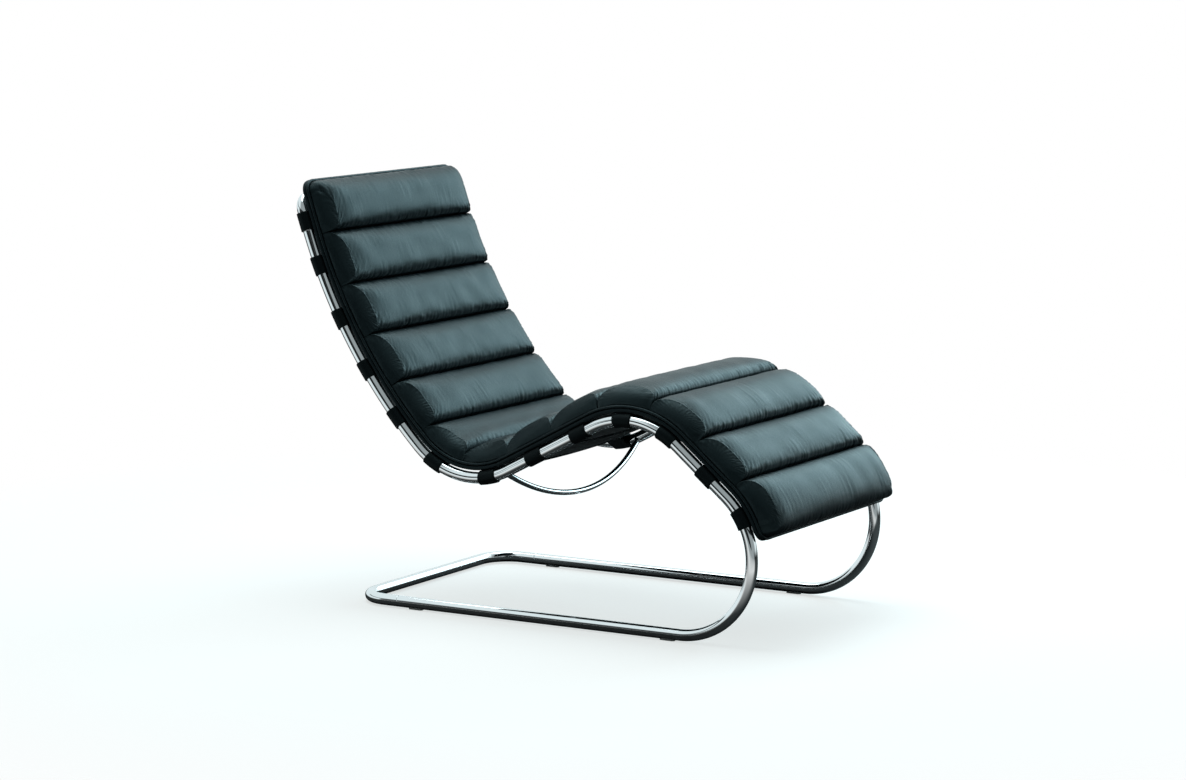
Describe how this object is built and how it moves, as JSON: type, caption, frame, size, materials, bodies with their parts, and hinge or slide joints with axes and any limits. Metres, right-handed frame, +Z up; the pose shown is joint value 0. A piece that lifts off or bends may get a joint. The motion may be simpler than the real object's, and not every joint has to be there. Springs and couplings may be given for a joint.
{
  "type": "cantilever chaise longue",
  "caption": "Cantilever chaise longue: a sprung bent-tube frame in polished chrome, belts round its side rails and one long stuffed-roll leather cushion",
  "frame": {"origin": "middle of the chair's bounding box at floor level", "axes": "+X from the back to the foot end, +Y across the chair to its far side, +Z up"},
  "size_m": [1.2054, 0.604, 0.9399],
  "materials": {
    "rail_chrome": "polished",
    "bar_chrome": "polished",
    "spreader_chrome": "polished",
    "sleeve_steel": "bare drawn tube",
    "glide_plastic": "matte",
    "stud_metal": "blackened",
    "belt_leather": "smooth satin",
    "panel_leather": "semi-gloss",
    "piping_leather": "semi-gloss",
    "roll_leather": "semi-gloss"
  },
  "bodies": {
    "root": {"belt_01": "belt_leather", "belt_02": "belt_leather", "belt_03": "belt_leather", "belt_04": "belt_leather", "belt_05": "belt_leather", "belt_06": "belt_leather", "belt_07": "belt_leather", "belt_08": "belt_leather", "belt_09": "belt_leather", "belt_10": "belt_leather", "belt_11": "belt_leather", "belt_12": "belt_leather", "belt_13": "belt_leather", "belt_studs": "stud_metal", "cushion_base": "panel_leather", "cushion_roll_01": "roll_leather", "cushion_roll_02": "roll_leather", "cushion_roll_03": "roll_leather", "cushion_roll_04": "roll_leather", "cushion_roll_05": "roll_leather", "cushion_roll_06": "roll_leather", "cushion_roll_07": "roll_leather", "cushion_roll_08": "roll_leather", "cushion_roll_09": "roll_leather", "cushion_roll_10": "roll_leather", "cushion_roll_11": "roll_leather", "cushion_roll_12": "roll_leather", "cushion_roll_13": "roll_leather", "edge_piping": "piping_leather", "floor_glide_front_far": "glide_plastic", "floor_glide_front_near": "glide_plastic", "floor_glide_rear_far": "glide_plastic", "floor_glide_rear_near": "glide_plastic", "floor_sleeve_far": "sleeve_steel", "floor_sleeve_near": "sleeve_steel", "head_sleeve_far": "sleeve_steel", "head_sleeve_near": "sleeve_steel", "rear_floor_bar": "bar_chrome", "seat_spreader": "spreader_chrome", "side_rail_far": "rail_chrome", "side_rail_near": "rail_chrome", "top_cross_bar": "bar_chrome"}
  },
  "joints": []
}
